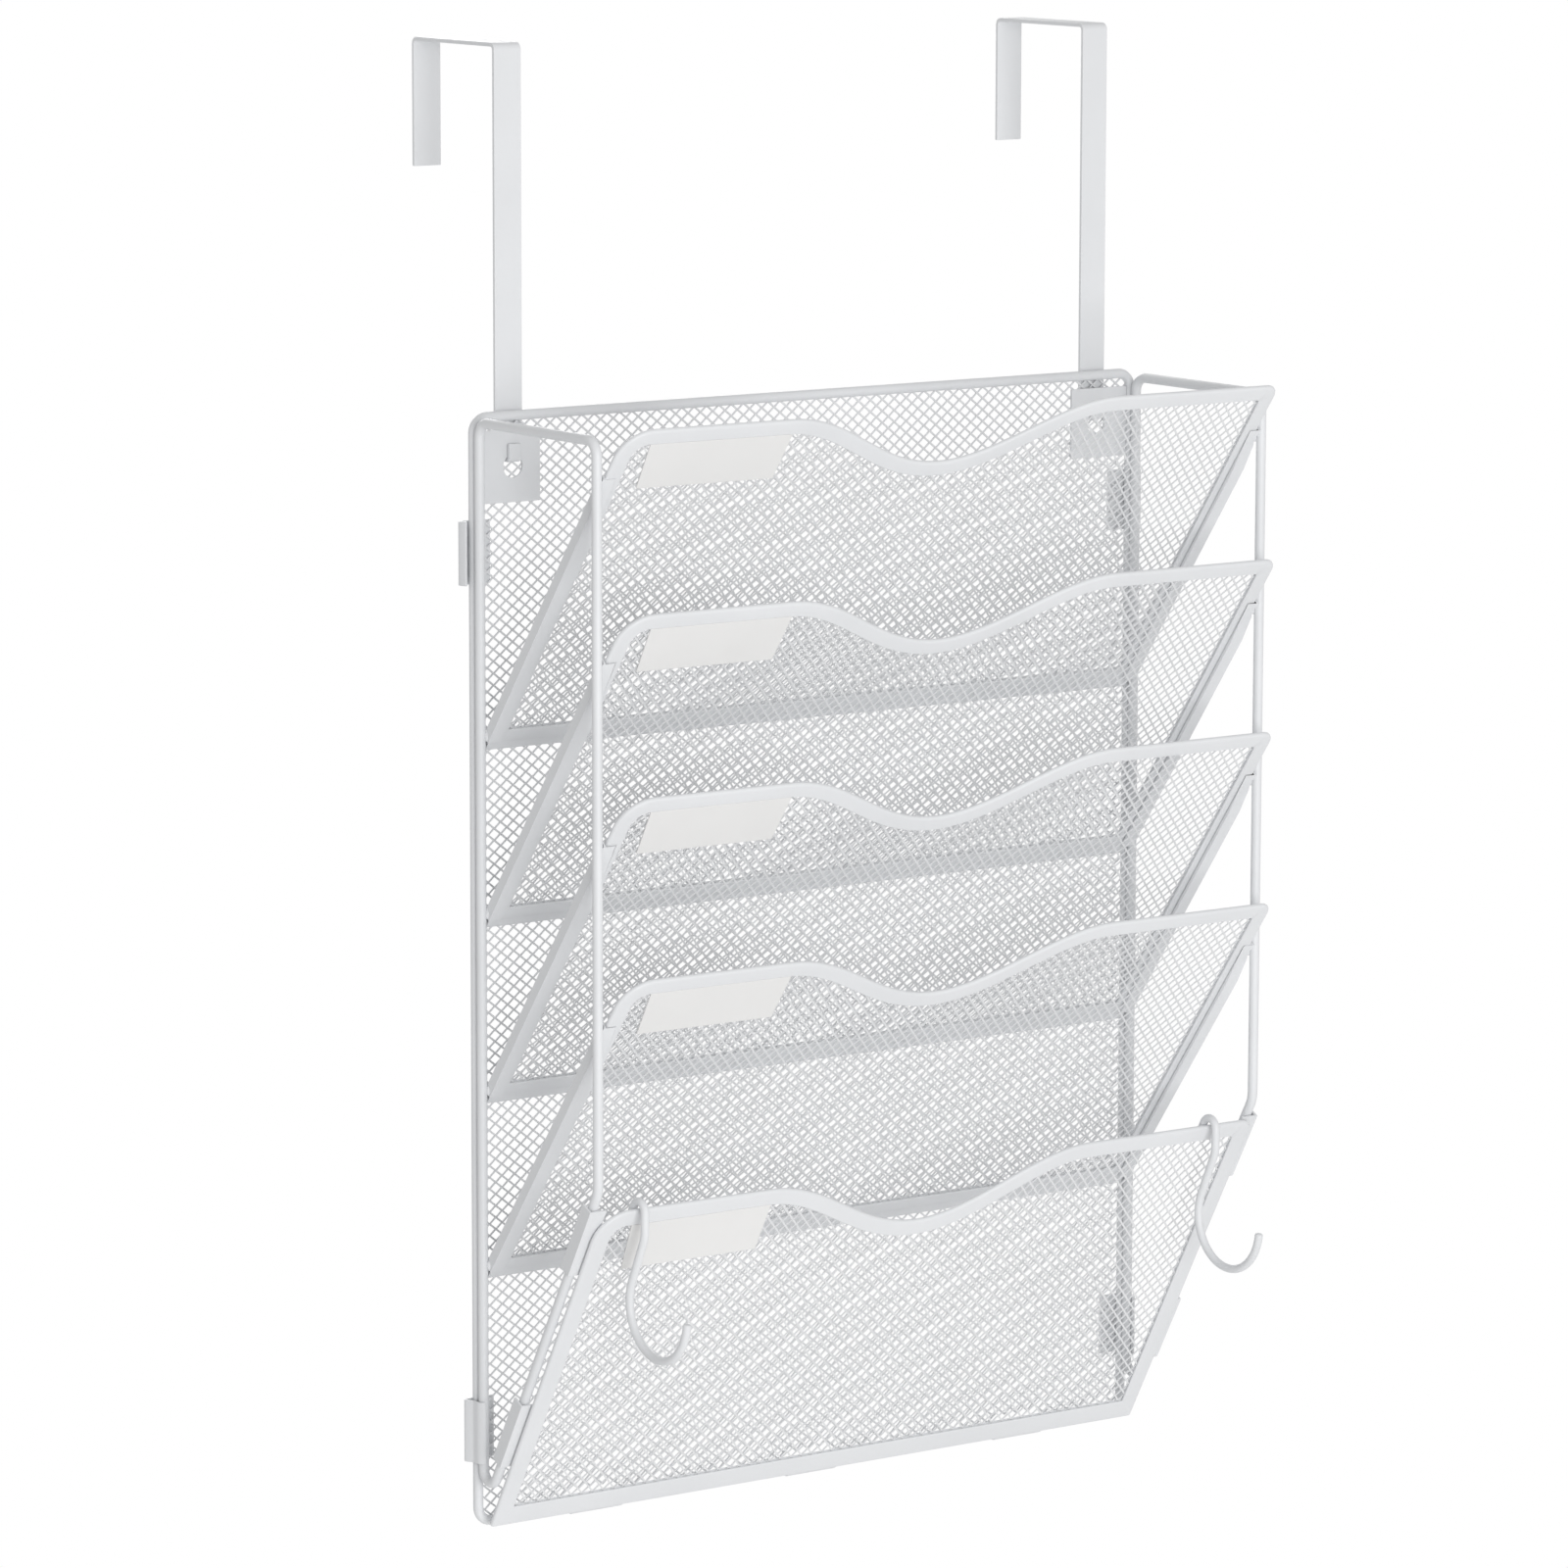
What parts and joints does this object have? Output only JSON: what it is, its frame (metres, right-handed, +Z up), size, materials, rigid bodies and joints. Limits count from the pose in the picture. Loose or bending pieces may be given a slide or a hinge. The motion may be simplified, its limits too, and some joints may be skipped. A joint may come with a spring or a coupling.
{
  "type": "hanging document pocket",
  "caption": "White wire and expanded metal document organizer that hangs on a door, with leaning mesh pockets, swinging side frames and sliding S-hooks.",
  "frame": {"origin": "the door's top front edge, midway between the two hooks", "axes": "+Z up, +X to the viewer's right, the pockets face -Y and the door lies toward +Y"},
  "size_m": [0.3318, 0.1834, 0.5851],
  "materials": {
    "enamel": "white powder coat, satin",
    "mesh_enamel": "white powder coat on expanded metal",
    "label": "smooth white, bare"
  },
  "bodies": {
    "back": {"back_frame": "enamel", "back_mesh": "mesh_enamel", "keyhole_plate_left": "enamel", "door_hook_left": "enamel", "hinge_clip_upper_left": "enamel", "hinge_clip_lower_left": "enamel", "keyhole_plate_right": "enamel", "door_hook_right": "enamel", "hinge_clip_upper_right": "enamel", "hinge_clip_lower_right": "enamel", "hinge_rod_1": "enamel", "hinge_rod_2": "enamel", "hinge_rod_3": "enamel", "hinge_rod_4": "enamel"},
    "pocket_1": {"pocket_1_frame": "enamel", "pocket_1_mesh": "mesh_enamel", "label_plate_1": "label"},
    "pocket_2": {"pocket_2_frame": "enamel", "pocket_2_mesh": "mesh_enamel", "label_plate_2": "label"},
    "pocket_3": {"pocket_3_frame": "enamel", "pocket_3_mesh": "mesh_enamel", "label_plate_3": "label"},
    "pocket_4": {"pocket_4_frame": "enamel", "pocket_4_mesh": "mesh_enamel", "label_plate_4": "label"},
    "pocket_5": {"pocket_5_frame": "enamel", "pocket_5_mesh": "mesh_enamel", "label_plate_5": "label"},
    "side_left": {"side_frame_left": "enamel", "bracket_upper_left": "enamel", "bracket_lower_left": "enamel", "strut_1_left": "enamel", "strut_2_left": "enamel", "strut_3_left": "enamel", "strut_4_left": "enamel"},
    "s_hook_left": {"s_hook_left": "enamel"},
    "side_right": {"side_frame_right": "enamel", "bracket_upper_right": "enamel", "bracket_lower_right": "enamel", "strut_1_right": "enamel", "strut_2_right": "enamel", "strut_3_right": "enamel", "strut_4_right": "enamel"},
    "s_hook_right": {"s_hook_right": "enamel"}
  },
  "joints": [
    {"name": "pocket_1_fold", "type": "hinge", "parent": "back", "child": "pocket_1", "pos_m": [0, -0.0054, -0.2696], "axis": [-1, 0, 0], "range_deg": [0, 35]},
    {"name": "pocket_2_fold", "type": "hinge", "parent": "back", "child": "pocket_2", "pos_m": [0, -0.0054, -0.3396], "axis": [-1, 0, 0], "range_deg": [0, 13]},
    {"name": "pocket_3_fold", "type": "hinge", "parent": "back", "child": "pocket_3", "pos_m": [0, -0.0054, -0.4096], "axis": [-1, 0, 0], "range_deg": [0, 13]},
    {"name": "pocket_4_fold", "type": "hinge", "parent": "back", "child": "pocket_4", "pos_m": [0, -0.0054, -0.4796], "axis": [-1, 0, 0], "range_deg": [0, 13]},
    {"name": "pocket_5_tip", "type": "hinge", "parent": "back", "child": "pocket_5", "pos_m": [0, -0.0038, -0.5803], "axis": [1, 0, 0], "range_deg": [0, 105]},
    {"name": "side_left_swing", "type": "hinge", "parent": "back", "child": "side_left", "pos_m": [-0.16, -0.0081, -0.36], "axis": [0, 0, -1], "range_deg": [0, 90]},
    {"name": "side_right_swing", "type": "hinge", "parent": "back", "child": "side_right", "pos_m": [0.16, -0.0081, -0.36], "axis": [0, 0, 1], "range_deg": [0, 90]},
    {"name": "s_hook_left_slide", "type": "slide", "parent": "pocket_5", "child": "s_hook_left", "axis": [1, 0, 0], "range_m": [0, 0.059]},
    {"name": "s_hook_right_slide", "type": "slide", "parent": "pocket_5", "child": "s_hook_right", "axis": [1, 0, 0], "range_m": [-0.058, 0.013]}
  ]
}
